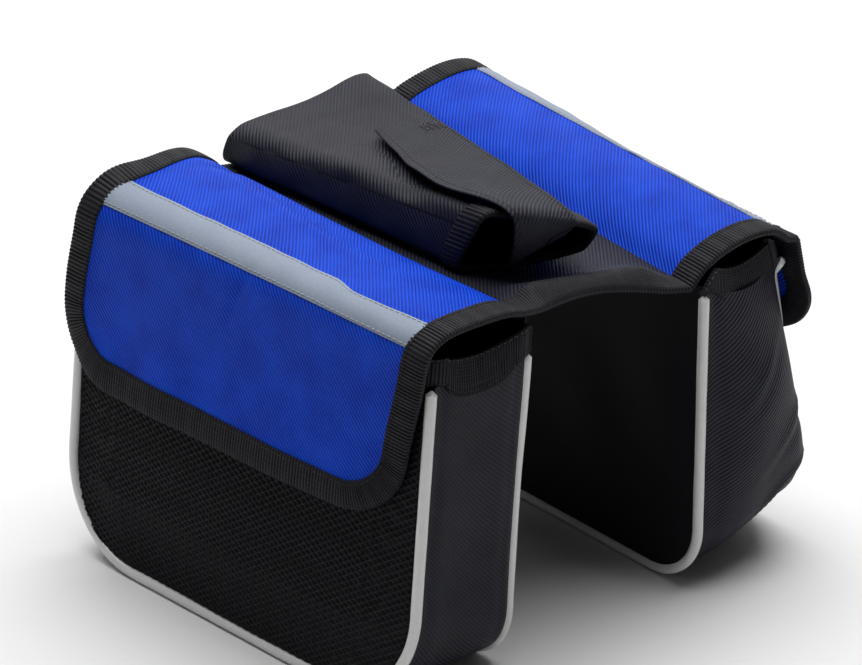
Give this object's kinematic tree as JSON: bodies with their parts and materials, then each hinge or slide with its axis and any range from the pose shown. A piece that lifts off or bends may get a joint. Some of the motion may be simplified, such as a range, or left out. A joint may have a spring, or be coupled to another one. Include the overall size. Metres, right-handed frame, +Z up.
{
  "type": "bicycle saddle bag",
  "caption": "Twin cloth pouches joined by a saddle that hangs over a bicycle frame tube, each with a flap, with a flat pocket and closure strap on top",
  "frame": {"origin": "centre of the bottom of the bounding box, on the floor that the pouches stand on", "axes": "+X along the bicycle tube towards the pocket's mouth, +Y across from the left pouch to the right pouch, +Z up"},
  "size_m": [0.2118, 0.2366, 0.1723],
  "materials": {
    "blue_cloth": "woven nylon with a fine ribbed grain",
    "black_cloth": "matt black woven nylon",
    "mesh_cloth": "black open mesh over black cloth",
    "ribbed_tape": "cross-ribbed black edging tape",
    "white_piping": "smooth white piping cord",
    "reflective_tape": "grey reflective tape, stitched along both edges"
  },
  "bodies": {
    "root": {"left_outer_panel": "mesh_cloth", "right_outer_panel": "mesh_cloth", "left_inner_panel": "black_cloth", "right_inner_panel": "black_cloth", "left_gusset": "black_cloth", "right_gusset": "black_cloth", "left_outer_piping": "white_piping", "left_inner_piping": "white_piping", "right_outer_piping": "white_piping", "right_inner_piping": "white_piping", "left_mouth_hem": "ribbed_tape", "right_mouth_hem": "ribbed_tape", "left_flap": "blue_cloth", "right_flap": "blue_cloth", "left_flap_binding": "ribbed_tape", "right_flap_binding": "ribbed_tape", "left_reflective_strip": "reflective_tape", "right_reflective_strip": "reflective_tape", "bridge": "black_cloth", "bridge_binding_near": "ribbed_tape", "bridge_binding_far": "ribbed_tape", "top_pocket": "black_cloth", "top_pocket_hem": "ribbed_tape", "closure_strap": "black_cloth"}
  },
  "joints": []
}
